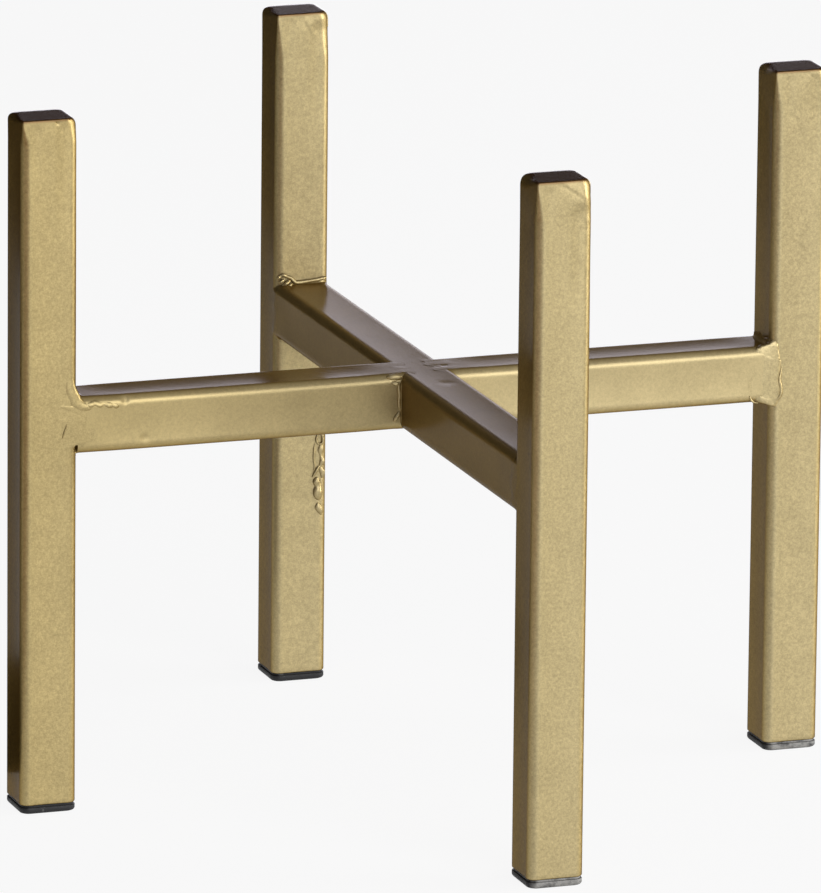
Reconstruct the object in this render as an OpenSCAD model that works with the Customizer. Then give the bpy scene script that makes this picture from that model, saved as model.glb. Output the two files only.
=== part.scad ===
// Square-tube plant stand. Four upright posts are joined at mid height by a flat cross, and a
// pot stands on the cross between them. The cross is one bar that runs from the front post to
// the back post, with a half-length arm butted to each of its sides. All ends are cut square
// and welded, the posts are closed by welded caps, and plastic plugs fill their lower ends.
// +Z is up and the floor is at Z = 0. The bar runs along Y, and the arms run along X.

/* [Stand] */
// Height from the floor to the top of the posts
stand_h = 197; // [160:1:320]
// Distance between the centres of two opposite posts
post_span = 220; // [140:1:400]
// Height of the underside of the cross above the floor
cross_z = 102; // [50:1:120]

/* [Square tube] */
// Outside width of the square steel tube
tube_w = 16; // [13:1:22]
// Wall thickness of the tube
tube_wall = 1.2; // [0.8:0.1:2]
// Outside radius of the tube's long edges
tube_corner = 2.4; // [2.2:0.1:3.5]

/* [Post caps] */
// Thickness of the plate that closes the top of a post
cap_t = 2; // [1.7:0.1:4]
// Rounding that is ground onto a cap's upper edges
cap_edge = 1.3; // [0.4:0.1:1.6]

/* [Foot plugs] */
// Thickness of the flange that shows under a post
flange_t = 2.4; // [1.2:0.1:4]
// Rounding of the flange's lower edges
flange_edge = 0.7; // [0.2:0.1:1.1]
// How far a plug reaches up into its post
plug_depth = 12; // [8:1:30]
// Wall thickness of the plug's hollow stem
plug_wall = 1.2; // [0.8:0.1:1.6]
// Number of grip ribs round the stem
rib_count = 3; // [2:1:4]
// Thickness of a grip rib
rib_t = 0.8; // [0.5:0.1:1.2]
// How far a grip rib stands out from the stem
rib_depth = 0.9; // [0.4:0.1:1.2]
// Gap between the ribs and the inside of the post
plug_gap = 0.1; // [0.05:0.05:0.3]

/* [Welds] */
// Leg of the bead above and below the joint at a post
post_bead = 2; // [1:0.1:3.5]
// Leg of the bead in the corners at the middle of the cross
centre_bead = 2.5; // [1:0.1:3.5]
// How far a ground weld lies below the faces of the tube
grind_depth = 0.05; // [0.02:0.01:0.15]

/* [Hidden] */
$fn = 48;

tube_half = tube_w / 2;
// Directions of the posts from the middle of the stand, in degrees from +X
toward_right = 0;
toward_back = 90;
toward_left = 180;
toward_front = 270;
// Distance from the middle of the stand to the inner faces of the posts
post_face = post_span / 2 - tube_half;
cross_mid_z = cross_z + tube_half;
post_len = stand_h - cap_t - flange_t;
arm_len = post_face - tube_half;
// Inside of the tube, where the plug goes
bore_w = tube_w - 2 * tube_wall;
bore_corner = tube_corner - tube_wall;
rib_w = bore_w - 2 * plug_gap;
stem_w = rib_w - 2 * rib_depth;
stem_bore_w = stem_w - 2 * plug_wall;
rib_pitch = plug_depth / rib_count;

gold_paint = [0.77, 0.70, 0.54];
ground_weld_paint = [0.72, 0.65, 0.49];
black_plastic = [0.10, 0.10, 0.10];

// A square with round corners, centred on the origin
module rounded_square(side, corner) {
    straight = side - 2 * corner;
    square([side, straight], center = true);
    square([straight, side], center = true);
    for (x = [-1, 1], y = [-1, 1])
        translate([x * straight / 2, y * straight / 2]) circle(corner);
}

// A length of the square tube that stands on the origin
module square_tube(length) {
    linear_extrude(length) difference() {
        rounded_square(tube_w, tube_corner);
        rounded_square(bore_w, bore_corner);
    }
}

// The tube's outside as a solid bar, centred on the origin, to cut what lies against it
module tube_outline(length) {
    linear_extrude(length, center = true) rounded_square(tube_w, tube_corner);
}

// Side view of a plate whose two upper corners are round
module rounded_top(width, thickness, edge) {
    intersection() {
        union() {
            translate([-width / 2, 0]) square([width, thickness - edge]);
            translate([edge - width / 2, 0]) square([width - 2 * edge, thickness]);
            for (x = [-1, 1])
                translate([x * (width / 2 - edge), thickness - edge]) circle(edge);
        }
        translate([-width / 2, 0]) square([width, thickness]);
    }
}

// A square plate with the tube's corners, and with its upper edges rounded
module rounded_plate(side, corner, thickness, edge) {
    straight = side - 2 * corner;
    for (turn = [0, 90])
        rotate([90, 0, turn]) linear_extrude(straight, center = true)
            rounded_top(side, thickness, edge);
    for (x = [-1, 1], y = [-1, 1])
        translate([x * straight / 2, y * straight / 2, 0])
            rotate_extrude() intersection() {
                rounded_top(2 * corner, thickness, edge);
                square([corner, thickness]);
            }
}

// Places its children on the centre line of the post that lies in one direction
module at_post(direction) {
    rotate([0, 0, direction]) translate([post_span / 2, 0, 0]) children();
}

module post(direction) {
    color(gold_paint) at_post(direction) translate([0, 0, flange_t]) square_tube(post_len);
}

module cap(direction) {
    color(gold_paint) at_post(direction)
        translate([0, 0, stand_h - cap_t]) rounded_plate(tube_w, tube_corner, cap_t, cap_edge);
}

// Plastic plug: a flange the size of the post, and a hollow stem with ribs that grip its inside
module foot(direction) {
    color(black_plastic) at_post(direction) {
        translate([0, 0, flange_t]) rotate([180, 0, 0])
            rounded_plate(tube_w, tube_corner, flange_t, flange_edge);
        translate([0, 0, flange_t]) difference() {
            union() {
                linear_extrude(plug_depth) square(stem_w, center = true);
                for (i = [1:rib_count])
                    translate([0, 0, i * rib_pitch - rib_t])
                        linear_extrude(rib_t) rounded_square(rib_w, bore_corner);
            }
            linear_extrude(plug_depth) square(stem_bore_w, center = true);
        }
    }
}

module through_bar() {
    color(gold_paint) translate([0, post_face, cross_mid_z]) rotate([90, 0, 0])
        square_tube(2 * post_face);
}

// Half-length arm from the side of the through bar to the inner face of a post
module arm(direction) {
    color(gold_paint) rotate([0, 0, direction]) translate([tube_half, 0, cross_mid_z])
        rotate([0, 90, 0]) square_tube(arm_len);
}

// Weld round the square end of a tube that runs along +X from the origin and butts against a
// tube along Z. It fills the two grooves beside the rounded edges of that tube, where it is
// ground flush, and it leaves a bead in the corners above and below.
module weld_ring(bead) {
    side_view = [
        [-tube_corner, tube_half + bead],
        [0, tube_half + bead],
        [bead, tube_half],
        [0, tube_half - tube_corner],
        [0, tube_corner - tube_half],
        [bead, -tube_half],
        [0, -tube_half - bead],
        [-tube_corner, -tube_half - bead]
    ];
    difference() {
        rotate([90, 0, 0]) linear_extrude(tube_w - 2 * grind_depth, center = true)
            polygon(side_view);
        translate([-tube_half, 0, 0]) tube_outline(2 * tube_w);
        translate([tube_half, 0, 0]) rotate([0, 90, 0]) tube_outline(tube_w);
    }
}

module post_weld(direction) {
    color(ground_weld_paint) rotate([0, 0, direction])
        translate([post_face, 0, cross_mid_z]) rotate([0, 0, 180]) weld_ring(post_bead);
}

module arm_weld(direction) {
    color(ground_weld_paint) rotate([0, 0, direction])
        translate([tube_half, 0, cross_mid_z]) rotate([90, 0, 0]) weld_ring(centre_bead);
}

post(toward_left);  // left_post
post(toward_right);  // right_post
post(toward_front);  // front_post
post(toward_back);  // back_post
cap(toward_left);  // left_cap
cap(toward_right);  // right_cap
cap(toward_front);  // front_cap
cap(toward_back);  // back_cap
foot(toward_left);  // left_foot
foot(toward_right);  // right_foot
foot(toward_front);  // front_foot
foot(toward_back);  // back_foot
through_bar();
arm(toward_left);  // left_arm
arm(toward_right);  // right_arm
post_weld(toward_left);  // left_post_weld
post_weld(toward_right);  // right_post_weld
post_weld(toward_front);  // front_post_weld
post_weld(toward_back);  // back_post_weld
arm_weld(toward_left);  // left_arm_weld
arm_weld(toward_right);  // right_arm_weld
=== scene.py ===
import math

import bmesh
import bpy
from mathutils import Matrix, Vector, noise


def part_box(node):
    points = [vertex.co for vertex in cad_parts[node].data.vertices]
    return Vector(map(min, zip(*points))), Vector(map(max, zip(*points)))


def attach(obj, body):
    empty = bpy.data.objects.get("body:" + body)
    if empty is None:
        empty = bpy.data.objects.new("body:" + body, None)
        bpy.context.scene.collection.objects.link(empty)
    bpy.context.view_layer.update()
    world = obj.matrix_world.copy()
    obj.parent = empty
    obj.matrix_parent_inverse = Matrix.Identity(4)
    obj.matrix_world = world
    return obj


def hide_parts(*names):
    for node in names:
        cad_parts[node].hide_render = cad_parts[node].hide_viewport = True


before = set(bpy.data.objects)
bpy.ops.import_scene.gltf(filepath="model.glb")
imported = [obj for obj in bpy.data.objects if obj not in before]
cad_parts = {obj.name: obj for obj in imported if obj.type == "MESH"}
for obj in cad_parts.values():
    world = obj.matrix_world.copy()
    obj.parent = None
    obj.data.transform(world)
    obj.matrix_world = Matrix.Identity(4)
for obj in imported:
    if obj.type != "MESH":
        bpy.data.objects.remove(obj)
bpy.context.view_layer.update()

# ---- Posts ----
# Four lengths of 16 mm square steel tube with a 1.2 mm wall stand upright. Each is
# sawn to length and capped, its top end is ground, and the whole stand is sprayed gold.

# the tube: half its width, its wall, its corners' outside radius, half a face's flat
HALF = 0.008
WALL = 0.0012
CORNER = 0.0024
FLAT = HALF - CORNER
# its mesh: steps round a corner and across a face
CORNER_STEPS = 8
FACE_STEPS = 24
# differences smaller than this don't count
TINY = 1e-6


def rounded_square(bm):
    """The tube's outline, as a loop of edges around the origin."""
    bmesh.ops.create_grid(bm, x_segments=1, y_segments=1, size=HALF)
    bmesh.ops.bevel(
        bm,
        geom=bm.verts[:],
        offset=CORNER,
        segments=CORNER_STEPS,
        profile=0.5,
        affect="VERTICES",
        material=-1,
    )
    sides = [e for e in bm.edges if e.calc_length() > HALF]
    bmesh.ops.subdivide_edges(bm, edges=sides, cuts=FACE_STEPS - 1)
    bmesh.ops.delete(bm, geom=bm.faces[:], context="FACES_ONLY")
    return bm.edges[:]


def raise_ring(bm, ring, rise):
    """Extrudes a loop of edges straight up and returns the new loop."""
    made = bmesh.ops.extrude_edge_only(bm, edges=ring)["geom"]
    above = {g for g in made if isinstance(g, bmesh.types.BMVert)}
    bmesh.ops.translate(bm, verts=list(above), vec=(0, 0, rise))
    edges = {e for v in above for e in v.link_edges}
    return [e for e in edges if e.verts[0] in above and e.verts[1] in above]


def ring_verts(ring):
    return list({v for e in ring for v in e.verts})


# the usual row along a tube, the fine one, and the longest last row, in rows
ROW = 0.0015
FINE_ROW = 0.0005
LAST_ROW = 1.5


def rows(start, end, fine_start=0.0, fine_end=0.0):
    """Heights from start to end, closer together over the lengths given at each end."""
    heights = [start]
    while heights[-1] < end:
        here = heights[-1]
        fine = here - start < fine_start or end - here < fine_end
        step = FINE_ROW if fine else ROW
        heights.append(here + step if here + LAST_ROW * step < end else end)
    return heights


def tube_skin(heights):
    """The outside of a square tube along Z, open at both ends."""
    bm = bmesh.new()
    ring = rounded_square(bm)
    bmesh.ops.translate(bm, verts=bm.verts[:], vec=(0, 0, heights[0]))
    for low, high in zip(heights, heights[1:]):
        ring = raise_ring(bm, ring, high - low)
    bmesh.ops.recalc_face_normals(bm, faces=bm.faces[:])
    return bm


def clamp(value, low, high):
    return min(max(value, low), high)


def ease(low, high, value):
    """Runs smoothly from 0 at low to 1 at high."""
    share = clamp((value - low) / (high - low), 0, 1)
    return share * share * (3 - 2 * share)


def dome(away):
    """Falls softly from 1 in the middle to 0 at a distance of 1."""
    return max(1 - away * away, 0) ** 2


# how hollow a face is, how far from a fixed end that starts, and how it sways along and
# across the tube, with what sets the other faces apart in the noise
DISH = 0.00013
DISH_START = 0.013
SWAY = 0.00006
SWAY_LENGTH = 0.026
SWAY_ACROSS = 0.3
AXIS_APART = 7
SIDE_APART = 900


def dish_faces(bm, ends, seed, twist=0.0):
    """Rolled tube isn't flat: each face is a little hollow and sways along its length.

    A welded tube is also wrung a little between its ends.
    """
    for v in bm.verts:
        near_end = min(v.co.z - ends[0], ends[1] - v.co.z)
        fade = ease(0, DISH_START, near_end)
        for axis, other in ((0, 1), (1, 0)):
            if abs(v.co[axis]) < HALF - TINY:
                continue
            across = v.co[other] / FLAT
            spot = Vector((v.co.z / SWAY_LENGTH, across * SWAY_ACROSS, seed + AXIS_APART * axis))
            drift = 0.5 + 0.5 * noise.noise(spot + Vector((0, 0, v.co[axis] * SIDE_APART)))
            depth = (DISH + SWAY * drift) * fade * max(1 - across * across, 0)
            v.co[axis] -= math.copysign(depth, v.co[axis])
        v.co.rotate(Matrix.Rotation(twist * fade, 3, "Z"))


# how far down a top end is ground, and its corner radii at the very top: (front left,
# front right, back left, back right)
GROUND_LENGTH = {"left": 0.005, "right": 0.009, "front": 0.009, "back": 0.011}
GROUND_CORNERS = (0.0004, 0.0032, 0.0022, 0.0024)


def ground_radius(right, back, share):
    """Corner radius on the way up (share 0 to 1) to the ground top of a post."""
    front_left, front_right, back_left, back_right = GROUND_CORNERS
    front = front_right if right else front_left
    rear = back_right if right else back_left
    return CORNER + ((rear if back else front) - CORNER) * share


def grind_corners(bm, top, length):
    """The grinder has changed the tube's rounded corners towards its top."""
    for v in bm.verts:
        share = clamp(1 - (top - v.co.z) / length, 0, 1)
        radius = ground_radius(v.co.x > 0, v.co.y > 0, share)
        for axis in (0, 1):
            side = math.copysign(1, v.co[axis])
            out = abs(v.co[axis])
            if out > FLAT:
                v.co[axis] = side * (HALF - radius + (out - FLAT) * radius / CORNER)
            else:
                v.co[axis] = side * out * (HALF - radius) / FLAT


# how far each top edge is ground round: in from the side and down from the top. The left
# edge differs from post to post, and runs out towards the crisp front one
TOP_EDGES = {
    "right": (0.0018, 0.0024),
    "front": (0.0003, 0.0003),
    "back": (0.0044, 0.0018),
}
LEFT_EDGES = {
    "left": (0.0017, 0.0024),
    "right": (0.0023, 0.0032),
    "front": (0.0028, 0.0036),
    "back": (0.0020, 0.0027),
}
LEFT_RUN = 0.011
LEFT_LEAST = 0.12


def round_over(bm, post, top):
    """Grinds the four edges of a top end round, each to its own quarter ellipse."""
    for v in bm.verts:
        run = LEFT_LEAST + (1 - LEFT_LEAST) * ease(-HALF, LEFT_RUN - HALF, v.co.y)
        left_edge = [size * run for size in LEFT_EDGES[post]]
        x_edge = TOP_EDGES["right"] if v.co.x > 0 else left_edge
        y_edge = TOP_EDGES["back"] if v.co.y > 0 else TOP_EDGES["front"]
        for axis, (inward, down) in enumerate((x_edge, y_edge)):
            up = clamp(1 - (top - v.co.z) / down, 0, 1)
            v.co[axis] *= 1 - inward * (1 - math.sqrt(1 - up * up)) / HALF


def press(bm, spot, reach, push):
    """Moves the surface around spot by push, less and less out to reach."""
    spot, push = Vector(spot), Vector(push)
    for v in bm.verts:
        v.co += push * dome((v.co - spot).length / reach)


# the share of a hollow's line after which it starts to run out
HOLLOW_RUN_OUT = 0.3


def hollow(bm, start, end, reach, deep):
    """Grinds a soft hollow into the front face, along a line that it runs out on."""
    start, end = Vector(start), Vector(end)
    along = end - start
    for v in bm.verts:
        if v.co.y > 0:
            continue
        share = clamp((v.co - start).dot(along) / along.length_squared, 0, 1)
        away = (v.co - start - along * share).length / reach
        v.co.y += deep * (1 - ease(HOLLOW_RUN_OUT, 1, share)) * dome(away)


# the shares of a crease's line over which it starts and ends, and half its wall's width
CREASE_IN = (-0.2, 0.2)
CREASE_OUT = (0.8, 1.3)
CREASE_WALL = 0.0004


def crease(bm, start, end, reach, deep):
    """A step in the front face: hollow under a line, with a short wall up to it."""
    start, end = Vector(start), Vector(end)
    line = end - start
    uphill = Vector((-line.z, 0, line.x)).normalized()
    for v in bm.verts:
        above = (v.co - start).dot(uphill)
        share = (v.co - start).dot(line) / line.length_squared
        if v.co.y > 0 or above < -reach:
            continue
        fade = ease(*CREASE_IN, share) * (1 - ease(*CREASE_OUT, share))
        wall = 1 - ease(-CREASE_WALL, CREASE_WALL, above)
        v.co.y += deep * wall * fade * (1 - clamp(-above / reach, 0, 1)) ** 2


# how soft the edge of a facet is
GRIND_SOFT = 0.0005


def grind(bm, start, end, tilt):
    """Grinds the front face back beyond a line, to a facet tilted by an angle."""
    start, end = Vector(start), Vector(end)
    line = (end - start).normalized()
    uphill = Vector((-line.z, 0, line.x))
    slope = math.tan(tilt)
    for v in bm.verts:
        if v.co.y > -FLAT:
            continue
        beyond = (v.co - start).dot(uphill)
        v.co.y += slope * (beyond + math.hypot(beyond, GRIND_SOFT)) / 2


# the rounding of the sawn lower end, and how much of the wall counts as its rim
BURR = 0.0005
BURR_STEPS = 4
RIM = 0.8 * WALL


def deburr(bm, bottom):
    """Rounds the outer edge of the sawn lower end."""
    rim = []
    for edge in bm.edges:
        ends = [v.co for v in edge.verts]
        outside = all(max(abs(co.x), abs(co.y)) > HALF - RIM for co in ends)
        if outside and all(co.z < bottom + TINY for co in ends):
            rim.append(edge)
    bmesh.ops.bevel(
        bm,
        geom=rim,
        offset=BURR,
        segments=BURR_STEPS,
        profile=0.5,
        affect="EDGES",
        material=-1,
    )


def stand_in(bm, low, high):
    """Moves a mesh made round the Z axis to the middle of its CAD node's box."""
    centre = (low + high) / 2
    bmesh.ops.translate(bm, verts=bm.verts[:], vec=(centre.x, centre.y, 0))


# a ridge of weld metal: the sides of its section and the steps between two points
RUN_SIDES = 16
RUN_STEPS = 6


def smooth_line(points):
    """Places on a smooth line through points, a few between each two."""
    points = [Vector(point) for point in points]
    padded = [points[0]] + points + [points[-1]]
    line = []
    for a, b, c, d in zip(padded, padded[1:], padded[2:], padded[3:]):
        for step in range(RUN_STEPS):
            t = step / RUN_STEPS
            square = (a * 2 - b * 5 + c * 4 - d) * t * t
            cube = (b * 3 - a - c * 3 + d) * t ** 3
            line.append((b * 2 + (c - a) * t + square + cube) / 2)
    return line + [points[-1]]


def weld_run(bm, points, facing, flat_top=1.0):
    """Adds a ridge of weld metal on a face that looks the way facing.

    Points are (x, y, z, half width, height); half of the ridge is sunk in the face.
    """
    faces_before = set(bm.faces)
    line = smooth_line(points)
    facing = Vector(facing).normalized()
    circle = bmesh.ops.create_circle(bm, radius=1, segments=RUN_SIDES)["verts"]
    for v in circle:
        for axis in (0, 1):
            v.co[axis] = math.copysign(abs(v.co[axis]) ** flat_top, v.co[axis])
    ring = list({e for v in circle for e in v.link_edges})
    first = ring
    placed = Matrix.Identity(4)
    for index, spot in enumerate(line):
        if index:
            ring = raise_ring(bm, ring, 0)
        ahead = line[min(index + 1, len(line) - 1)] - line[max(index - 1, 0)]
        forward = Vector(ahead[:3]).normalized()
        across = facing.cross(forward).normalized() * spot[3]
        turn = Matrix((across, facing * spot[4], forward)).transposed().to_4x4()
        place = Matrix.Translation(spot[:3]) @ turn
        move = place @ placed.inverted()
        bmesh.ops.transform(bm, matrix=move, verts=ring_verts(ring))
        placed = place
    bmesh.ops.holes_fill(bm, edges=first + ring)
    made = [face for face in bm.faces if face not in faces_before]
    bmesh.ops.recalc_face_normals(bm, faces=made)


# edges sharper than this stay sharp
SHARP = math.radians(38)


def add_object(name, data):
    made = bpy.data.objects.new(name, data)
    bpy.context.scene.collection.objects.link(made)
    return made


def mesh_object(bm, name, material):
    """Turns a mesh in the making into an object of one material."""
    mesh = bpy.data.meshes.new(name)
    bm.to_mesh(mesh)
    bm.free()
    mesh.materials.append(material)
    return add_object(name, mesh)


def finish_piece(bm, name, node, material):
    """Turns a mesh in the making into a piece that stands for its CAD node."""
    piece = mesh_object(bm, name, material)
    piece.data.shade_smooth()
    piece.data.set_sharp_from_angle(angle=SHARP)
    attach(piece, "root")
    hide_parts(node)


def add_node(tree, kind, inputs=None, **settings):
    """A shader node with its settings, and its sockets' values or links."""
    made = tree.nodes.new(kind)
    for key, value in settings.items():
        setattr(made, key, value)
    for key, value in (inputs or {}).items():
        if isinstance(value, bpy.types.NodeSocket):
            tree.links.new(value, made.inputs[key])
        else:
            made.inputs[key].default_value = value
    return made


def new_material(name):
    material = bpy.data.materials.new(name)
    material.use_nodes = True
    material.node_tree.nodes.clear()
    return material, material.node_tree


# how rough every noise is, and the span that its values usually have
NOISE_ROUGHNESS = 0.55
NOISE_SPAN = (0.3, 0.7)


def noise_of(tree, spot, size, detail=2.0):
    """Noise whose blotches are about size metres across."""
    inputs = {
        "Vector": spot,
        "Scale": 1 / size,
        "Detail": detail,
        "Roughness": NOISE_ROUGHNESS,
    }
    return add_node(tree, "ShaderNodeTexNoise", inputs).outputs[0]


def map_span(tree, value, span, onto=(0.0, 1.0)):
    """Maps a value from one span onto another, and stops at the ends."""
    inputs = {
        "Value": value,
        "From Min": span[0],
        "From Max": span[1],
        "To Min": onto[0],
        "To Max": onto[1],
    }
    return add_node(tree, "ShaderNodeMapRange", inputs).outputs[0]


def spread(tree, value, low, high):
    """Maps a noise's usual span to low..high."""
    return map_span(tree, value, NOISE_SPAN, (low, high))


def multiply(tree, first, second, **settings):
    inputs = {0: first, 1: second}
    node = add_node(tree, "ShaderNodeMath", inputs, operation="MULTIPLY", **settings)
    return node.outputs[0]


def scale_color(tree, color, scale):
    inputs = {0: color, "Scale": scale}
    return add_node(tree, "ShaderNodeVectorMath", inputs, operation="SCALE").outputs[0]


def mix_colors(tree, share, first, second):
    inputs = {"Factor": share, 6: first, 7: second}
    return add_node(tree, "ShaderNodeMix", inputs, data_type="RGBA").outputs[2]


def bump(tree, height, depth, under=None):
    """Raises the surface by height times depth, on top of the bump under it."""
    inputs = {"Height": height, "Strength": 1.0, "Distance": depth}
    if under:
        inputs["Normal"] = under
    return add_node(tree, "ShaderNodeBump", inputs).outputs[0]


# the paint's blotches in metres: mottle, flecks, clouds, orange peel, and streaks that
# are drawn out along Z
GRAIN = 0.0009
FLECK = 0.00042
CLOUD = 0.012
PEEL = 0.003
STREAK = 0.0016
DRAWN_OUT = (1.0, 1.0, 0.2)
# how far the clouds and the flecks change the colour, the flecks as a share of the mottle
CLOUDS = (0.97, 1.07)
FLECK_SHARE = 0.75
# the flake's colour on the left and on the right, where painted sheen of the key light makes it
# greyer and lighter, the X span in which it changes, and its colour on a level top, darker and
# browner as painted shade, with the heights under that top over which it sets in
FLAKE_LEFT = (0.65, 0.63, 0.50, 1)
FLAKE_RIGHT_SHEEN = (0.70, 0.71, 0.66, 1)
SHEEN_SPAN = (-0.13, 0.02)
FLAKE_LEVEL_SHADE = (0.34, 0.25, 0.19, 1)
LEVEL_SHADE_SPAN = (0.0008, 0.0002)
FLAKE_ROUGHNESS = (0.36, 0.46)
# how deep the orange peel, the streaks and, for a mottle of 1, the flake are
PEEL_DEPTH = 0.000010
STREAK_DEPTH = 0.000016
FLAKE_DEPTH = 0.00012
# the gold-brown lacquer over the flake
LACQUER = (0.65, 0.53, 0.315, 1.0)
LACQUER_ROUGHNESS = 0.2
LACQUER_IOR = 1.06


def gold_paint(name, mottle, metal, light=1.0, shaded_level_top=None):
    """Silver flake under a lacquer: painted sheen makes it greyer and lighter to the right, and
    painted shade makes it darker and browner on a level top.

    Mottle is how far the flake's brightness varies, and a light above 1 lightens it all as painted
    light.
    """
    material, tree = new_material(name)
    spot = add_node(tree, "ShaderNodeTexCoord").outputs["Object"]
    grain = noise_of(tree, spot, GRAIN, detail=4.0)
    fleck = noise_of(tree, spot, FLECK, detail=1.0)
    cloud = noise_of(tree, spot, CLOUD, detail=3.0)
    peel = noise_of(tree, spot, PEEL, detail=1.0)
    inputs = {0: spot, 1: DRAWN_OUT}
    drawn = add_node(tree, "ShaderNodeVectorMath", inputs, operation="MULTIPLY")
    streak = noise_of(tree, drawn.outputs[0], STREAK, detail=1.0)
    places = add_node(tree, "ShaderNodeSeparateXYZ", {0: spot}).outputs
    # painted sheen: the flake turns greyer and lighter towards the right, where the key light is
    painted_sheen_share = map_span(tree, places["X"], SHEEN_SPAN)
    flake = mix_colors(tree, painted_sheen_share, FLAKE_LEFT, FLAKE_RIGHT_SHEEN)
    cloudy = spread(tree, cloud, *(share * light for share in CLOUDS))
    flake = scale_color(tree, flake, cloudy)
    speckle = spread(tree, grain, 1 - mottle, 1 + mottle)
    glint = spread(tree, fleck, 1 - mottle * FLECK_SHARE, 1 + mottle * FLECK_SHARE)
    flake = scale_color(tree, flake, multiply(tree, speckle, glint))
    # painted shade: a level top is darker and browner than the sides
    if shaded_level_top:
        level = map_span(tree, places["Z"], [shaded_level_top - under for under in LEVEL_SHADE_SPAN])
        flake = mix_colors(tree, level, flake, FLAKE_LEVEL_SHADE)
    skin = bump(tree, peel, PEEL_DEPTH, bump(tree, streak, STREAK_DEPTH))
    coated = add_node(
        tree,
        "ShaderNodeBsdfPrincipled",
        {
            "Base Color": flake,
            "Metallic": metal,
            "Specular IOR Level": 0.0,
            "Roughness": spread(tree, grain, *FLAKE_ROUGHNESS),
            "Specular Tint": (0.0, 0.0, 0.0, 1.0),
            "Coat Weight": 1.0,
            "Coat Roughness": LACQUER_ROUGHNESS,
            "Coat IOR": LACQUER_IOR,
            "Coat Tint": LACQUER,
            "Normal": bump(tree, grain, FLAKE_DEPTH * mottle, skin),
            "Coat Normal": skin,
        },
    )
    add_node(tree, "ShaderNodeOutputMaterial", {"Surface": coated.outputs[0]})
    return material


paint = gold_paint("gold_paint", mottle=0.13, metal=0.75)
SIDES = ("left", "right", "front", "back")
# what the grinder left on the front face under the top edge. All are given by x and depth
# under the top of both ends: a facet with its tilt in degrees, and a crease along it and
# the hollows, which run out downwards, with their reach and how deep they go
FACETS = {
    "left": (0.0035, 0.0, 0.0080, 0.0045, 4.0),
    "right": (0.0010, 0.0, 0.0080, 0.0045, 5.0),
    "front": (-0.0015, 0.0, 0.0052, 0.0048, 7.0),
    "back": (-0.0012, 0.0, 0.0040, 0.0088, 5.0),
}
CREASES = {
    "right": (0.0012, 0.0004, 0.0040, 0.0026, 0.0020, 0.00010),
    "front": (-0.0014, 0.0004, 0.0056, 0.0052, 0.0022, 0.00018),
    "back": (-0.0010, 0.0006, 0.0036, 0.0084, 0.0024, 0.00014),
}
HOLLOWS = {
    "left": (
        (0.0054, 0.0030, 0.0057, 0.0420, 0.0046, 0.00040),
        (-0.0042, 0.0030, -0.0046, 0.0200, 0.0022, 0.00012),
    ),
    "right": (
        (0.0052, 0.0040, 0.0056, 0.0300, 0.0038, 0.00022),
        (-0.0040, 0.0030, -0.0035, 0.0160, 0.0020, 0.00010),
    ),
    "front": (
        (0.0055, 0.0100, 0.0059, 0.0420, 0.0050, 0.00040),
        (-0.0046, 0.0030, -0.0046, 0.0200, 0.0020, 0.00012),
    ),
    "back": (
        (0.0054, 0.0060, 0.0057, 0.0400, 0.0046, 0.00040),
        (-0.0042, 0.0030, -0.0045, 0.0200, 0.0022, 0.00012),
    ),
}
# a pit in the left post's front: x, depth under the top, reach and how deep it goes
PIT = (0.0019, 0.0010, 0.0006, 0.00050)


def mark_top(bm, side, top):
    """The grinder's marks on a post's top end, on tube and cap alike."""
    round_over(bm, side, top)
    x, depth, end_x, end_depth, tilt = FACETS[side]
    grind(bm, (x, -HALF, top - depth), (end_x, -HALF, top - end_depth), math.radians(tilt))
    for x, depth, end_x, end_depth, reach, deep in HOLLOWS[side]:
        hollow(bm, (x, -HALF, top - depth), (end_x, -HALF, top - end_depth), reach, deep)
    if side in CREASES:
        x, depth, end_x, end_depth, reach, deep = CREASES[side]
        crease(bm, (x, -HALF, top - depth), (end_x, -HALF, top - end_depth), reach, deep)
    if side == "left":
        x, depth, reach, deep = PIT
        press(bm, (x, -HALF, top - depth), reach, (0, deep, 0))


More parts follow.
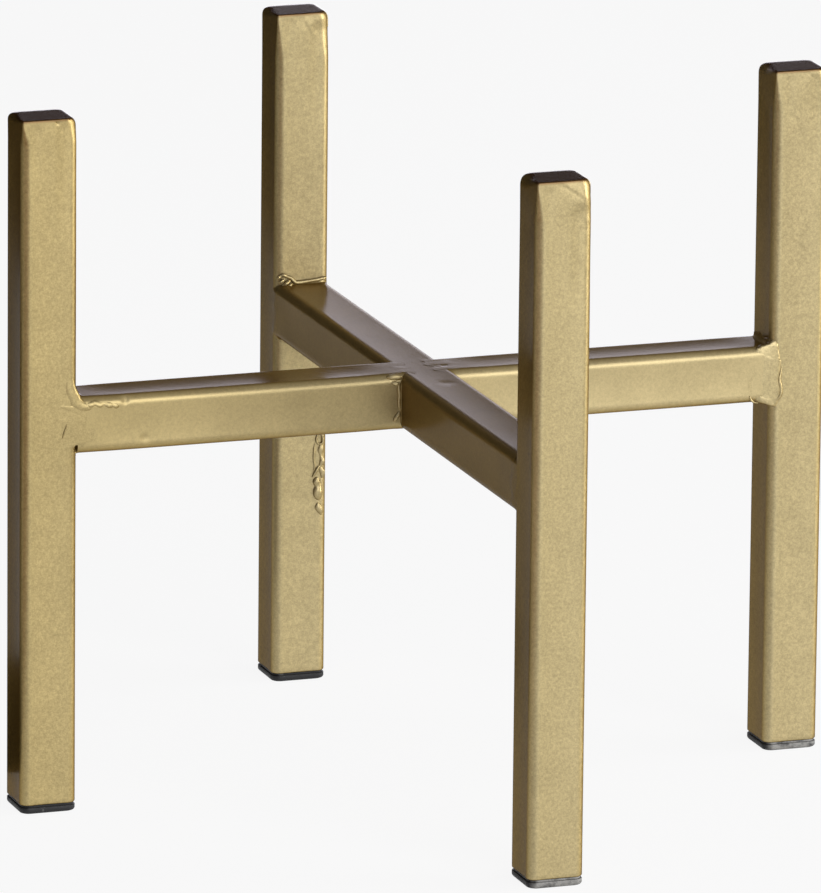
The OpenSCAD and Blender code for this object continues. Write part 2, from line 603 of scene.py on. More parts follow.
# weld spatter and drips on the back post's inner face, under the through bar on the right,
# each a line of (x, y, z, half width, height)
SPATTER = (
    ((0.0050, 0.102, 0.0703, 0.0003, 0.0003), (0.0046, 0.102, 0.0716, 0.0004, 0.0004),
     (0.0051, 0.102, 0.0730, 0.0004, 0.0004), (0.0061, 0.102, 0.0731, 0.0004, 0.0004),
     (0.0066, 0.102, 0.0717, 0.0004, 0.0004), (0.0062, 0.102, 0.0703, 0.0004, 0.0005),
     (0.0050, 0.102, 0.0702, 0.0003, 0.0003)),
    ((0.0041, 0.102, 0.0706, 0.0001, 0.0001), (0.0040, 0.102, 0.0680, 0.0004, 0.0003),
     (0.0039, 0.102, 0.0655, 0.0003, 0.0002), (0.0042, 0.102, 0.0635, 0.0003, 0.0002),
     (0.0037, 0.102, 0.0618, 0.0001, 0.0001)),
    ((0.0062, 0.102, 0.0702, 0.0003, 0.0002), (0.0059, 0.102, 0.0685, 0.0009, 0.0004),
     (0.0060, 0.102, 0.0668, 0.0004, 0.0002), (0.0064, 0.102, 0.0650, 0.0008, 0.0005),
     (0.0058, 0.102, 0.0634, 0.0005, 0.0003), (0.0065, 0.102, 0.0616, 0.0008, 0.0004),
     (0.0064, 0.102, 0.0600, 0.0002, 0.0002)),
    ((0.0035, 0.102, 0.0604, 0.0002, 0.0002), (0.0042, 0.102, 0.0616, 0.0005, 0.0005),
     (0.0050, 0.102, 0.0629, 0.0005, 0.0005), (0.0055, 0.102, 0.0638, 0.0002, 0.0002)),
    ((0.0050, 0.102, 0.0603, 0.0004, 0.0003), (0.0047, 0.102, 0.0592, 0.0011, 0.0007),
     (0.0052, 0.102, 0.0578, 0.0010, 0.0005), (0.0051, 0.102, 0.0562, 0.0014, 0.0008),
     (0.0053, 0.102, 0.0546, 0.0012, 0.0006), (0.0056, 0.102, 0.0535, 0.0003, 0.0002)),
    ((0.0052, 0.102, 0.0528, 0.0002, 0.0002), (0.0053, 0.102, 0.0516, 0.0010, 0.0005),
     (0.0059, 0.102, 0.0503, 0.0009, 0.0005), (0.0062, 0.102, 0.0491, 0.0002, 0.0001)),
)

# the plate that goes on top, how far down the fine rows run, and an end so far below the
# sawn foot that the faces are hollow right down to it
CAP_HEIGHT = 0.002
FINE_TOP = 0.018
NO_END = -1.0
for seed, side in enumerate(SIDES):
    low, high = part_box(f"{side}_post")
    bm = tube_skin(rows(low.z, high.z, fine_end=FINE_TOP))
    dish_faces(bm, (NO_END, high.z), seed)
    grind_corners(bm, high.z, GROUND_LENGTH[side])
    mark_top(bm, side, high.z + CAP_HEIGHT)
    bmesh.ops.solidify(bm, geom=bm.faces[:], thickness=WALL)
    deburr(bm, low.z)
    stand_in(bm, low, high)
    for drip in SPATTER if side == "back" else ():
        weld_run(bm, drip, (0, -1, 0))
    finish_piece(bm, f"{side}_post_tube", f"{side}_post", paint)

# ---- Post caps ----
# A 2 mm plate is welded on each post's open top. Its seam is ground flush with the
# tube and its edges are ground round, except the crisp one at the front.

# rows up the plate's side as shares of its height, and rings in from its edge as sizes
CAP_LEVELS = (0.0, 0.25, 0.5, 0.7, 0.85, 0.9, 0.94, 0.97, 0.99, 1.0)
CAP_RINGS = (0.9, 0.7, 0.45, 0.2)


def cap_plate(side, bottom, top):
    """The plate: the ground tube's outline, carried up and closed over the top."""
    bm = bmesh.new()
    ring = rounded_square(bm)
    sole = ring
    bmesh.ops.translate(bm, verts=bm.verts[:], vec=(0, 0, bottom))
    grind_corners(bm, bottom, GROUND_LENGTH[side])
    for low, high in zip(CAP_LEVELS, CAP_LEVELS[1:]):
        ring = raise_ring(bm, ring, (high - low) * (top - bottom))
    size = 1.0
    for next_size in CAP_RINGS:
        ring = raise_ring(bm, ring, 0)
        shrink = next_size / size
        bmesh.ops.scale(bm, verts=ring_verts(ring), vec=(shrink, shrink, 1))
        size = next_size
    bmesh.ops.holes_fill(bm, edges=sole + ring)
    bmesh.ops.recalc_face_normals(bm, faces=bm.faces[:])
    mark_top(bm, side, top)
    return bm


CAP_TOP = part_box("left_cap")[1].z
# the caps' paint, with painted shade: darker and browner on their level tops
cap_paint = gold_paint("gold_paint_cap", mottle=0.11, metal=0.75, shaded_level_top=CAP_TOP)
for side in SIDES:
    low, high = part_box(f"{side}_cap")
    bm = cap_plate(side, low.z, high.z)
    stand_in(bm, low, high)
    finish_piece(bm, f"{side}_cap_plate", f"{side}_cap", cap_paint)

# ---- Foot plugs ----
# A black plastic plug is pushed up into each post's open lower end. Its flange covers
# the sawn edge and its ribs grip the inside of the tube.

# the flange from its sole up, as (height, half width)
FLANGE_PROFILE = (
    (0.00000, 0.0071),
    (0.00005, 0.0074),
    (0.00020, 0.0077),
    (0.00045, 0.0079),
    (0.00075, 0.0080),
    (0.00170, 0.0080),
    (0.00184, 0.0079),
    (0.00190, 0.0076),
    (0.00240, 0.0076),
    (0.00240, 0.0062),
)
# the stem: half its width, its top, how its tip narrows, and its ribs from their foot up
STEM_HALF = 0.0059
STEM_TOP = 0.0144
TIP_HEIGHT = 0.0008
TIP_IN = 0.0006
RIBS = 3
FIRST_RIB = 0.0039
RIB_PITCH = 0.003
RIB_OUT = 0.0067
RIB_PROFILE = (
    (0.0000, STEM_HALF),
    (0.0002, RIB_OUT),
    (0.0008, RIB_OUT),
    (0.0014, STEM_HALF),
)


def foot_plug():
    """The plug as a square outline that follows a profile of heights and half widths."""
    profile = list(FLANGE_PROFILE)
    for rib in range(RIBS):
        foot = FIRST_RIB + rib * RIB_PITCH
        profile += [(foot + rise, wide) for rise, wide in RIB_PROFILE]
    profile += [(STEM_TOP - TIP_HEIGHT, STEM_HALF), (STEM_TOP, STEM_HALF - TIP_IN)]
    bm = bmesh.new()
    ring = rounded_square(bm)
    for (low, narrow), (high, wide) in zip([(0.0, HALF)] + profile, profile):
        if high > 0:
            ring = raise_ring(bm, ring, high - low)
        size = wide / narrow
        bmesh.ops.scale(bm, verts=ring_verts(ring), vec=(size, size, 1))
    bmesh.ops.holes_fill(bm, edges=bm.edges[:])
    bmesh.ops.recalc_face_normals(bm, faces=bm.faces[:])
    return bm


# the plastic: its colour, the grain of its skin in metres and how deep that is
PLASTIC = (0.012, 0.012, 0.013, 1)
PLASTIC_GRAIN = 0.0006
PLASTIC_DEPTH = 0.00002
PLASTIC_ROUGHNESS = (0.45, 0.65)
PLASTIC_SHINE = 0.35
# its scuffs, partly real wear and partly painted sheen of the lamps: their colour and size,
# the noise values over which they set in, the way they face, towards the lamps, and how far that
# counts
SCUFF_AND_SHEEN_GREY = (0.30, 0.295, 0.28, 1)
SCUFF_SIZE = 0.0022
SCUFF_SPAN = (0.66, 0.96)
SHEEN_FACING = (0.5, -0.85, 0.0)
SHEEN_TURN = 1.2


def foot_plastic(name, scuff):
    """Black moulded plastic, dull, with grey scuffs on its front and right-hand sides, partly wear
    and partly painted sheen.
    """
    material, tree = new_material(name)
    spot = add_node(tree, "ShaderNodeTexCoord").outputs["Object"]
    fine = noise_of(tree, spot, PLASTIC_GRAIN)
    patches = noise_of(tree, spot, SCUFF_SIZE, detail=3.0)
    rubbed = map_span(tree, patches, [value - scuff for value in SCUFF_SPAN])
    outward = add_node(tree, "ShaderNodeTexCoord").outputs["Normal"]
    inputs = {0: outward, 1: SHEEN_FACING}
    facing = add_node(tree, "ShaderNodeVectorMath", inputs, operation="DOT_PRODUCT")
    scuffed_and_lit = multiply(tree, facing.outputs["Value"], SHEEN_TURN, use_clamp=True)
    tone = mix_colors(tree, multiply(tree, rubbed, scuffed_and_lit), PLASTIC, SCUFF_AND_SHEEN_GREY)
    plastic = add_node(
        tree,
        "ShaderNodeBsdfPrincipled",
        {
            "Base Color": tone,
            "Roughness": spread(tree, fine, *PLASTIC_ROUGHNESS),
            "Specular IOR Level": PLASTIC_SHINE,
            "Normal": bump(tree, fine, PLASTIC_DEPTH),
        },
    )
    add_node(tree, "ShaderNodeOutputMaterial", {"Surface": plastic.outputs[0]})
    return material


clean_plastic = foot_plastic("foot_plastic", scuff=0.0)
scuffed_sheen_plastic = foot_plastic("foot_plastic_scuffed_sheen", scuff=0.40)
for side in SIDES:
    low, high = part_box(f"{side}_foot")
    bm = foot_plug()
    stand_in(bm, low, high)
    # the feet nearest the lamps get grey scuffs that are partly painted sheen
    plastic = scuffed_sheen_plastic if side in ("front", "right") else clean_plastic
    finish_piece(bm, f"{side}_foot_plug", f"{side}_foot", plastic)

# ---- Through bar and arms ----
# The through bar is one length of the same tube from the front post to the back one.
# The two arms butt against its sides and reach out to the left and right posts.

# the way each tube runs and how far it is wrung
LEVEL_TUBES = {
    "through_bar": (Vector((0, 1, 0)), 0.0),
    "left_arm": (Vector((1, 0, 0)), math.radians(1.3)),
    "right_arm": (Vector((1, 0, 0)), math.radians(0.8)),
}


def lay_down(bm, along, centre):
    """Turns a tube made along Z so that it runs level, through centre."""
    turn = Vector((0, 0, 1)).rotation_difference(along).to_matrix().to_4x4()
    bmesh.ops.transform(bm, matrix=Matrix.Translation(centre) @ turn, verts=bm.verts[:])


# knocks in a tube's skin: middle, reach and push
DENTS = {
    "left_arm": (
        ((-0.0883, -0.0076, 0.1164), 0.0016, (0, 0.0003, -0.0002)),
        ((-0.0826, -0.0080, 0.1052), 0.0018, (0, 0.00018, 0)),
    ),
    "through_bar": (
        ((0.0010, -0.0199, 0.1180), 0.0030, (0, 0, -0.00010)),
    ),
}
# the fine rows at both ends of a level tube, and what sets its noise apart from the posts'
FINE_ENDS = 0.022
LEVEL_SEED = 10
# painted light: the level tubes' paint is a copy of the posts' that is lighter by a tenth
tube_paint = gold_paint("gold_paint_tube", mottle=0.07, metal=0.62, light=1.10)
for seed, (node, (along, twist)) in enumerate(LEVEL_TUBES.items()):
    low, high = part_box(node)
    half = (high - low).dot(along) / 2
    bm = tube_skin(rows(-half, half, fine_start=FINE_ENDS, fine_end=FINE_ENDS))
    dish_faces(bm, (-half, half), seed + LEVEL_SEED, twist)
    bmesh.ops.solidify(bm, geom=bm.faces[:], thickness=WALL)
    lay_down(bm, along, (low + high) / 2)
    for spot, reach, push in DENTS.get(node, ()):
        press(bm, spot, reach, push)
    finish_piece(bm, f"{node}_tube", node, tube_paint)

# ---- Welds ----
# Every joint is welded all round with wire. Where two faces lie flush the bead fills
# the gap beside the rounded corner and is ground level, and elsewhere it is a fillet.

# a bead's mesh: steps round the tube's end and steps across the bead
AROUND = 160
ACROSS = 22
# a quarter of the tube's outline
QUARTER = 2 * FLAT + CORNER * math.pi / 2
# how deep the bead's edge is sunk in the tube's skin and in a post's, from which share of
# its width on the second one counts, and where its hidden root lies
SUNK_EDGE = 0.00004
POST_SUNK = 0.00018
SUNK_FROM = 0.6
ROOT_IN = 0.0004
ROOT_UNDER = 0.0008
# how far and how often its edges wander, on the tube and on the tube that carries it
WANDER = 0.5
WANDER_TURNS = 2.6
WANDER_OUT = 0.4
WANDER_OUT_TURNS = 3.1
OUT_APART = 5
# how far a fillet is pulled into its corner (on a flush side a third makes it even), the
# share of its width by which it has swollen, and its lumps with their number to the metre
FILLET_PULL = 0.6
SWOLLEN = 0.5
LUMPS = 0.5
LUMPS_TO_METRE = 420
# points closer than this are joined, which closes the bead all round
SAME_PLACE = 1e-7


def wrap(distance):
    """Point and normal on the tube's outline, distance round from a face's middle."""
    turns = round(distance / QUARTER)
    rest = distance - turns * QUARTER
    side = math.copysign(1, rest)
    angle = max(abs(rest) - FLAT, 0) / CORNER
    if angle > 0:
        ahead, aside = math.cos(angle), side * math.sin(angle)
        point = Vector((FLAT + CORNER * ahead, side * FLAT + CORNER * aside))
        normal = Vector((ahead, aside))
    else:
        point = Vector((HALF, rest))
        normal = Vector((1, 0))
    turn = Matrix.Rotation(turns * math.pi / 2, 2)
    return turn @ point, turn @ normal


def on_carrier(across, up):
    """Point and normal on the tube that carries the joint, in the joint's own frame."""
    point, normal = wrap(across)
    return Vector((HALF - point.x, point.y, up)), Vector((-normal.x, normal.y, 0))


def by_side(values, normal):
    """A value for the low-Y, high-Y, low-Z and high-Z side, blended round corners."""
    y_value = values[1] if normal.x > 0 else values[0]
    z_value = values[3] if normal.y > 0 else values[2]
    return y_value * normal.x ** 2 + z_value * normal.y ** 2


def turning_noise(swing, often, seed):
    """Noise that comes back to its start after a whole turn."""
    return noise.noise(Vector((swing.x * often, swing.y * often, seed)))


def weld_collar(arm_reach, carrier_reach, crown, lip, sunk_end, seed):
    """A bead all round a tube's end, from its skin over to the tube that carries it.

    The tube comes along +X to X = 0 and the carrying tube runs along Z behind that.
    """
    bm = bmesh.new()
    bmesh.ops.create_grid(bm, x_segments=AROUND, y_segments=ACROSS + 2, size=0.5)
    for v in bm.verts:
        round_share = v.co.x + 0.5
        step = round((v.co.y + 0.5) * (ACROSS + 2))
        edge, normal = wrap(round_share * 4 * QUARTER)
        swing = Vector((math.cos(round_share * math.tau), math.sin(round_share * math.tau)))
        sway = 1 + WANDER * turning_noise(swing, WANDER_TURNS, seed)
        reach = by_side(arm_reach, normal) * sway
        sway = 1 + WANDER_OUT * turning_noise(swing, WANDER_OUT_TURNS, seed + OUT_APART)
        out = by_side(carrier_reach, normal) * sway
        start = Vector((-reach, edge.x, edge.y))
        start_normal = Vector((0, normal.x, normal.y))
        aside = by_side(carrier_reach, Vector((edge.x, 0)).normalized()) * sway
        across = edge.x * (1 + aside / HALF)
        rise = by_side(carrier_reach, Vector((0, edge.y)).normalized()) * sway
        rise *= 1 - ease(FLAT, HALF + CORNER / 2, abs(across))
        upward = edge.y * (1 + rise / HALF)
        end, end_normal = on_carrier(across, upward)
        flush_pull = (reach + out) / 3 * normal.x ** 2
        from_arm = FILLET_PULL * reach * normal.y ** 2 + flush_pull
        from_carrier = FILLET_PULL * out * normal.y ** 2 + flush_pull
        handle_a = start + Vector((from_arm, 0, 0))
        handle_b, _ = on_carrier(
            across - normal.x * from_carrier, upward - normal.y * from_carrier
        )
        if step > ACROSS:
            under = 1 - ROOT_UNDER / HALF
            root = Vector((ROOT_IN, edge.x * under, edge.y * under))
            v.co = root if step == ACROSS + 1 else start - start_normal * SUNK_EDGE
            continue
        t = step / ACROSS
        place = (
            start * (1 - t) ** 3
            + handle_a * (3 * t * (1 - t) ** 2)
            + handle_b * (3 * t * t * (1 - t))
            + end * t ** 3
        )
        out_normal = start_normal.lerp(end_normal, t).normalized()
        swell = ease(0, SWOLLEN, t) * (1 - ease(by_side(lip, normal), 1, t))
        lumps = noise.noise(place * LUMPS_TO_METRE + Vector((0, 0, seed)))
        height = by_side(crown, normal) * swell * (1 + LUMPS * lumps)
        sunk = SUNK_EDGE + (sunk_end - SUNK_EDGE) * ease(SUNK_FROM, 1, t)
        height -= sunk * (1 - swell)
        v.co = place + out_normal * height
    bmesh.ops.remove_doubles(bm, verts=bm.verts[:], dist=SAME_PLACE)
    bmesh.ops.recalc_face_normals(bm, faces=bm.faces[:])
    return bm


def place_collar(bm, along, up, origin):
    """Puts a collar's own frame at a joint: X along the arm, Z along the carrier."""
    side = up.cross(along)
    turn = Matrix((along, side, up)).transposed().to_4x4()
    bmesh.ops.transform(bm, matrix=Matrix.Translation(origin) @ turn, verts=bm.verts[:])


CROSS_Z = (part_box("through_bar")[0].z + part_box("through_bar")[1].z) / 2
JOINT_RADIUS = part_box("through_bar")[1].y
UP = Vector((0, 0, 1))
BACK = Vector((0, 1, 0))
# at each joint: the way its tube runs up to the post, and then for the low-Y, high-Y,
# low-Z and high-Z side in the joint's own frame the bead's reach along the tube, its reach
# over the post, its crown's height, and the share of its width from which that falls off
POST_JOINTS = {
    "left": (Vector((-1, 0, 0)), (0.0045, 0.0045, 0.0009, 0.0022), (0.0035, 0.0045, 0.0009, 0.0038),
             (0.0001, 0.00003, 0.0001, 0.0001), (0.6, 0.5, 0.8, 0.8)),
    "right": (Vector((1, 0, 0)), (0.0060, 0.0040, 0.0009, 0.0014), (0.0018, 0.0035, 0.0009, 0.0020),
              (0.00010, 0.0001, 0.0001, 0.0001), (0.6, 0.6, 0.8, 0.8)),
    "front": (Vector((0, -1, 0)), (0.0040, 0.0040, 0.0008, 0.0012), (0.0035, 0.0035, 0.0008, 0.0012),
              (0.0001, 0.0001, 0.0001, 0.0001), (0.6, 0.6, 0.8, 0.8)),
    "back": (Vector((0, 1, 0)), (0.0030, 0.0030, 0.0010, 0.0010), (0.0030, 0.0030, 0.0012, 0.0008),
             (0.0001, 0.0001, 0.0002, 0.0001), (0.6, 0.6, 0.8, 0.8)),
}
# ridges of weld metal that stand out at each joint: the way the face looks, a number that
# is less than 1 for a flatter ridge, and its line of (x, y, z, half width, height)
POST_RIDGES = {
    "left": (
        ((0, -1, 0), 0.7, (
            (-0.1048, -0.0067, 0.1262, 0.0008, 0.0012), (-0.1045, -0.0067, 0.1233, 0.0016, 0.0013),
            (-0.1042, -0.0067, 0.1205, 0.0020, 0.0014), (-0.1034, -0.0067, 0.1183, 0.0022, 0.0014),
            (-0.1025, -0.0067, 0.1166, 0.0022, 0.0014), (-0.1009, -0.0067, 0.1155, 0.0019, 0.0014),
            (-0.0988, -0.0067, 0.1151, 0.0014, 0.0014), (-0.0965, -0.0067, 0.1152, 0.0007, 0.0012))),
        ((0, -0.9, 0.4), 0.9, (
            (-0.0998, -0.0074, 0.1163, 0.0006, 0.0004), (-0.0984, -0.0075, 0.1160, 0.0010, 0.0006),
            (-0.0970, -0.0075, 0.1163, 0.0009, 0.0005), (-0.0957, -0.0075, 0.1159, 0.0011, 0.0006),
            (-0.0944, -0.0075, 0.1161, 0.0009, 0.0005), (-0.0930, -0.0075, 0.1157, 0.0012, 0.0007),
            (-0.0918, -0.0075, 0.1157, 0.0011, 0.0006), (-0.0907, -0.0075, 0.1154, 0.0012, 0.0007),
            (-0.0898, -0.0076, 0.1154, 0.0004, 0.0003))),
        ((0, -1, 0), 1.0, (
            (-0.1052, -0.0080, 0.1109, 0.0001, 0.0001), (-0.1055, -0.0080, 0.1098, 0.0002, 0.0002),
            (-0.1061, -0.0080, 0.1082, 0.0002, 0.0002), (-0.1064, -0.0080, 0.1070, 0.0001, 0.0001))),
    ),
    "right": (
        ((-0.10, -1, 0), 0.35, (
            (0.1024, -0.0069, 0.1198, 0.0004, 0.0006), (0.1026, -0.0069, 0.1193, 0.0010, 0.0010),
            (0.1026, -0.0069, 0.1185, 0.0016, 0.0012), (0.1023, -0.0069, 0.1177, 0.0023, 0.0012),
            (0.1019, -0.0069, 0.1169, 0.0031, 0.0012), (0.1014, -0.0069, 0.1160, 0.0037, 0.0012),
            (0.1008, -0.0069, 0.1148, 0.0043, 0.0012), (0.1007, -0.0069, 0.1120, 0.0042, 0.0012),
            (0.1006, -0.0069, 0.1097, 0.0041, 0.0012), (0.1005, -0.0069, 0.1080, 0.0040, 0.0012),
            (0.1007, -0.0069, 0.1062, 0.0043, 0.0012), (0.1008, -0.0069, 0.1048, 0.0043, 0.0012),
            (0.1006, -0.0069, 0.1035, 0.0041, 0.0012), (0.1001, -0.0069, 0.1026, 0.0037, 0.0012),
            (0.0998, -0.0069, 0.1020, 0.0029, 0.0010), (0.0997, -0.0069, 0.1017, 0.0012, 0.0006))),
        ((0.3, -1, 0), 0.8, (
            (0.1050, -0.0081, 0.1121, 0.0001, 0.0001), (0.1047, -0.0081, 0.1100, 0.0004, 0.0003),
            (0.1045, -0.0081, 0.1081, 0.0005, 0.0004), (0.1049, -0.0081, 0.1063, 0.0005, 0.0004),
            (0.1050, -0.0081, 0.1048, 0.0005, 0.0004), (0.1046, -0.0081, 0.1036, 0.0005, 0.0004),
            (0.1038, -0.0080, 0.1027, 0.0004, 0.0004), (0.1028, -0.0078, 0.1022, 0.0002, 0.0003))),
        ((0, -1, 0), 1.0, (
            (0.0981, -0.0078, 0.1021, 0.0002, 0.0003), (0.0969, -0.0079, 0.1024, 0.0003, 0.0003),
            (0.0961, -0.0080, 0.1032, 0.0003, 0.0002), (0.0956, -0.0080, 0.1042, 0.0001, 0.0001))),
    ),
    "back": (
        ((0, -1, 0.3), 0.9, (
            (-0.0078, 0.1020, 0.1202, 0.0003, 0.0003), (-0.0073, 0.1018, 0.1203, 0.0006, 0.0006),
            (-0.0067, 0.1019, 0.1206, 0.0004, 0.0004), (-0.0059, 0.1018, 0.1209, 0.0006, 0.0006),
            (-0.0048, 0.1018, 0.1204, 0.0005, 0.0005), (-0.0037, 0.1018, 0.1200, 0.0005, 0.0005),
            (-0.0029, 0.1017, 0.1192, 0.0006, 0.0006), (-0.0021, 0.1016, 0.1186, 0.0006, 0.0006),
            (-0.0008, 0.1016, 0.1185, 0.0006, 0.0006), (0.0016, 0.1016, 0.1187, 0.0005, 0.0006),
            (0.0042, 0.1017, 0.1189, 0.0005, 0.0005), (0.0062, 0.1018, 0.1192, 0.0005, 0.0005),
            (0.0073, 0.1024, 0.1192, 0.0004, 0.0004))),
        ((0, -1, 0.5), 1.0, (
            (-0.0076, 0.1016, 0.1192, 0.0002, 0.0002), (-0.0068, 0.1013, 0.1190, 0.0005, 0.0006),
            (-0.0059, 0.1014, 0.1197, 0.0003, 0.0003))),
        ((0, -1, 0.5), 1.0, (
            (-0.0064, 0.1014, 0.1178, 0.0002, 0.0003), (-0.0055, 0.1011, 0.1183, 0.0006, 0.0008),
            (-0.0045, 0.1012, 0.1190, 0.0005, 0.0005), (-0.0038, 0.1015, 0.1194, 0.0002, 0.0002))),
        ((0, -1, 0.5), 1.0, (
            (-0.0050, 0.1008, 0.1176, 0.0002, 0.0002), (-0.0041, 0.1008, 0.1180, 0.0005, 0.0005),
            (-0.0033, 0.1012, 0.1184, 0.0002, 0.0002))),
    ),
}
# a pit where the left bead stops short: middle, reach and push
PITS = {"left": ((-0.1021, -0.0074, 0.1036), 0.0014, (0.0002, 0.0022, 0.0010))}
POST_SEED_STEP = 3.7
for seed, (side, (along, arm, carrier, crown, lip)) in enumerate(POST_JOINTS.items()):
    bm = weld_collar(arm, carrier, crown, lip, POST_SUNK, seed * POST_SEED_STEP)
    place_collar(bm, along, UP, along * JOINT_RADIUS + UP * CROSS_Z)
    if side in PITS:
        press(bm, *PITS[side])
    for facing, flat_top, line in POST_RIDGES.get(side, ()):
        weld_run(bm, line, facing, flat_top)
    finish_piece(bm, f"{side}_post_bead", f"{side}_post_weld", paint)

# the same for the beads where the arms butt against the through bar
ARM_JOINTS = {
    "left": (Vector((1, 0, 0)), (0.0035, 0.0035, 0.0008, 0.0008), (0.0040, 0.0040, 0.0008, 0.0008),
             (0.00003, 0.0001, 0.00005, 0.00005), (0.5, 0.6, 0.8, 0.8)),
    "right": (Vector((-1, 0, 0)), (0.0045, 0.0045, 0.0014, 0.0014), (0.0040, 0.0040, 0.0014, 0.0014),
              (0.00003, 0.00003, 0.00005, 0.00005), (0.5, 0.5, 0.8, 0.8)),
}
ARM_RIDGES = {
    "left": (
        ((-0.05, -1, 0.3), 0.8, (
            (-0.0120, -0.0072, 0.1173, 0.0003, 0.0004), (-0.0111, -0.0072, 0.1173, 0.0007, 0.0010),
            (-0.0097, -0.0072, 0.1172, 0.0010, 0.0013), (-0.0083, -0.0073, 0.1170, 0.0008, 0.0012),
            (-0.0073, -0.0076, 0.1168, 0.0003, 0.0005))),
        ((0, -1, 0.3), 0.8, (
            (-0.0108, -0.0079, 0.1160, 0.0002, 0.0001), (-0.0100, -0.0080, 0.1157, 0.0006, 0.0004),
            (-0.0091, -0.0081, 0.1153, 0.0006, 0.0005), (-0.0087, -0.0081, 0.1145, 0.0003, 0.0002))),
        ((-0.2, -1, 0.2), 1.0, (
            (-0.0086, -0.0080, 0.1158, 0.0003, 0.0003), (-0.0087, -0.0081, 0.1142, 0.0005, 0.0005),
            (-0.0085, -0.0081, 0.1125, 0.0006, 0.0005), (-0.0086, -0.0081, 0.1106, 0.0005, 0.0005),
            (-0.0085, -0.0081, 0.1090, 0.0004, 0.0004), (-0.0085, -0.0080, 0.1079, 0.0002, 0.0002))),
        ((-0.2, -1, 0.3), 0.8, (
            (-0.0084, -0.0081, 0.1076, 0.0002, 0.0002), (-0.0088, -0.0081, 0.1067, 0.0006, 0.0005),
            (-0.0095, -0.0081, 0.1056, 0.0006, 0.0005), (-0.0101, -0.0080, 0.1047, 0.0002, 0.0002))),
    ),
}
ARM_SEED = 20
ARM_SEED_STEP = 2.9
for seed, (side, (along, arm, carrier, crown, lip)) in enumerate(ARM_JOINTS.items()):
    bm = weld_collar(arm, carrier, crown, lip, SUNK_EDGE, seed * ARM_SEED_STEP + ARM_SEED)
    place_collar(bm, along, BACK, along * -HALF + UP * CROSS_Z)
    for facing, flat_top, line in ARM_RIDGES.get(side, ()):
        weld_run(bm, line, facing, flat_top)
    finish_piece(bm, f"{side}_arm_bead", f"{side}_arm_weld", tube_paint)

# ---- Floor, light and camera ----
# The stand is on a pale floor under four soft lamps in a dim room. Six cards that only
# reflections see put painted shade and painted reflections into the metal: its dark sides,
# brown corners and pale tops.

# the floor's board, and the share of white glow that the camera and reflections see in it
FLOOR_RADIUS = 12.0
FLOOR_SIDES = 64
FLOOR_BOARD = (0.88, 0.88, 0.88, 1)
FLOOR_GLOW = 0.90
material, tree = new_material("floor_card")
rays = add_node(tree, "ShaderNodeLightPath")
seen = rays.outputs["Is Camera Ray"]
for kind in ("Is Glossy Ray", "Is Transmission Ray"):
    inputs = {0: seen, 1: rays.outputs[kind]}
    added = add_node(tree, "ShaderNodeMath", inputs, operation="ADD", use_clamp=True)
    seen = added.outputs[0]
board = add_node(tree, "ShaderNodeBsdfDiffuse", {"Color": FLOOR_BOARD})
glow = add_node(tree, "ShaderNodeEmission", {"Color": (1, 1, 1, 1), "Strength": 1.0})
inputs = {0: multiply(tree, seen, FLOOR_GLOW), 1: board.outputs[0], 2: glow.outputs[0]}
both = add_node(tree, "ShaderNodeMixShader", inputs)
add_node(tree, "ShaderNodeOutputMaterial", {"Surface": both.outputs[0]})
bm = bmesh.new()
bmesh.ops.create_circle(bm, cap_ends=True, radius=FLOOR_RADIUS, segments=FLOOR_SIDES)
floor = mesh_object(bm, "floor", material)

ROOM_COLOR = (1.0, 0.96, 1.10, 1)
ROOM_LIGHT = 0.12
world = bpy.data.worlds.new("studio")
world.use_nodes = True
backdrop = world.node_tree.nodes["Background"]
backdrop.inputs["Color"].default_value = ROOM_COLOR
backdrop.inputs["Strength"].default_value = ROOM_LIGHT
scene = bpy.context.scene
scene.world = world

# each lamp's place, size and watts: a big one far in front to the right, one at the right,
# one overhead, and a small low one in front to the right for the posts' right edges
LAMPS = {
    "key": ((0.9, -3.9, 1.225), 2.7, 103),
    "right_fill": ((2.2, -0.3, 0.6), 1.2, 22),
    "overhead": ((0.3, -0.2, 2.6), 3.0, 6),
    "edge_strip": ((1.50, -0.80, 0.16), 0.3, 10),
}
STAND_MIDDLE = Vector((0, 0, 0.1))
for name, (place, size, watts) in LAMPS.items():
    lamp = bpy.data.lights.new(name, "AREA")
    lamp.shape = "SQUARE"
    lamp.size = size
    lamp.energy = watts
    holder = add_object(name, lamp)
    holder.location = place
    aim = STAND_MIDDLE - Vector(place)
    holder.rotation_euler = aim.to_track_quat("-Z", "Y").to_euler()
    holder.visible_camera = False
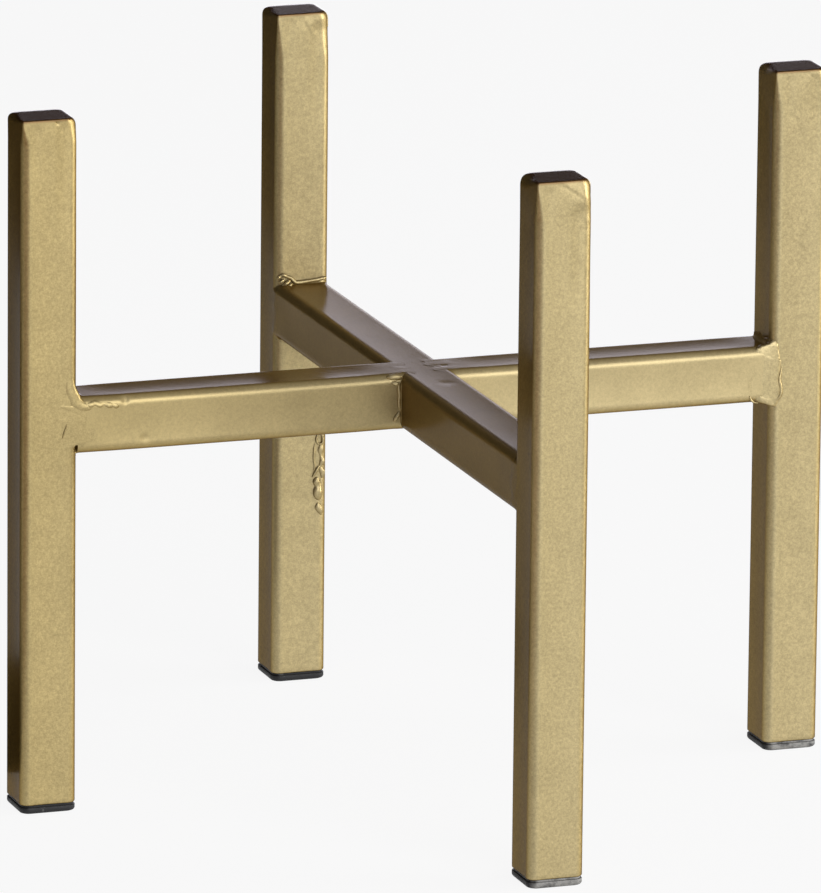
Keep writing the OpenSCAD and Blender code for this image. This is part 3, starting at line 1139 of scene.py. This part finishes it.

# each card's middle, half sizes, tilt, turn and colour. The black ones are sheets of painted
# shade, the tan and grey ones painted reflections, and the glowing white one a painted
# reflection that is no lamp. Three lie flat on the left and one in front to the right; a
# black one stands behind to the left, and a glowing one behind to the right whitens the level tops
TAN = (0.85, 0.42, 0.17, 1)
BLACK = (0.02, 0.02, 0.02, 1)
GREY = (0.30, 0.28, 0.24, 1)
WHITE = (1.0, 0.955, 1.06, 1)
WHITE_GLOW = 3.2
CARDS = {
    "side_card": ((-0.526, -0.425, 0.002), (0.35, 0.38), 0.0, math.radians(8.3), TAN),
    "left_card": ((-0.585, 0.218, 0.004), (0.30, 0.19), 0.0, math.radians(20.3), BLACK),
    "foot_card": ((-0.172, 0.060, 0.006), (0.082, 0.060), 0.0, math.radians(19.2), BLACK),
    "right_card": ((0.62, -0.55, 0.003), (0.30, 0.36), 0.0, math.radians(30), GREY),
    "back_card": ((-0.44, 0.62, 0.25), (0.36, 0.25), math.pi / 2, 0.0, BLACK),
    "top_card": ((0.168, 0.488, 0.187), (0.17, 0.075), math.pi / 2, math.radians(-19), WHITE),
}
for name, (place, halves, tilt, swing, color) in CARDS.items():
    bm = bmesh.new()
    bmesh.ops.create_grid(bm, x_segments=1, y_segments=1, size=1)
    bmesh.ops.scale(bm, verts=bm.verts[:], vec=(*halves, 1))
    turn = Matrix.Rotation(swing, 4, "Z") @ Matrix.Rotation(tilt, 4, "X")
    bmesh.ops.transform(bm, matrix=Matrix.Translation(place) @ turn, verts=bm.verts[:])
    material, tree = new_material(name)
    if color == WHITE:
        felt = add_node(tree, "ShaderNodeEmission", {"Color": color, "Strength": WHITE_GLOW})
    else:
        felt = add_node(tree, "ShaderNodeBsdfDiffuse", {"Color": color})
    add_node(tree, "ShaderNodeOutputMaterial", {"Surface": felt.outputs[0]})
    card = mesh_object(bm, name, material)
    card.visible_camera = False
    card.visible_diffuse = False
    card.visible_shadow = False

# The camera stands where the photograph was taken from: 19 degrees round to the left
# of the front, 14 degrees up, 3.3 m away, with a long lens.
AZIMUTH = math.radians(19.20)
ELEVATION = math.radians(14.37)
ROLL = math.radians(0.58)
DISTANCE = 3.2807
AIM_HEIGHT = 0.0948
AIM_SIDE = -0.00212
LENS = 474.12
FAR_ENOUGH = 60
away = Vector(
    (
        -math.sin(AZIMUTH) * math.cos(ELEVATION),
        -math.cos(AZIMUTH) * math.cos(ELEVATION),
        math.sin(ELEVATION),
    )
)
level = Vector((math.cos(AZIMUTH), -math.sin(AZIMUTH), 0))
steep = away.cross(level)
camera_data = bpy.data.cameras.new("camera")
camera_data.lens = LENS
camera_data.clip_end = FAR_ENOUGH
camera = add_object("camera", camera_data)
place = UP * AIM_HEIGHT + level * AIM_SIDE + away * DISTANCE
camera_x = level * math.cos(ROLL) + steep * math.sin(ROLL)
camera_y = steep * math.cos(ROLL) - level * math.sin(ROLL)
turn = Matrix((camera_x, camera_y, away)).transposed().to_4x4()
camera.matrix_world = Matrix.Translation(place) @ turn
scene.camera = camera
scene.view_settings.view_transform = "Standard"
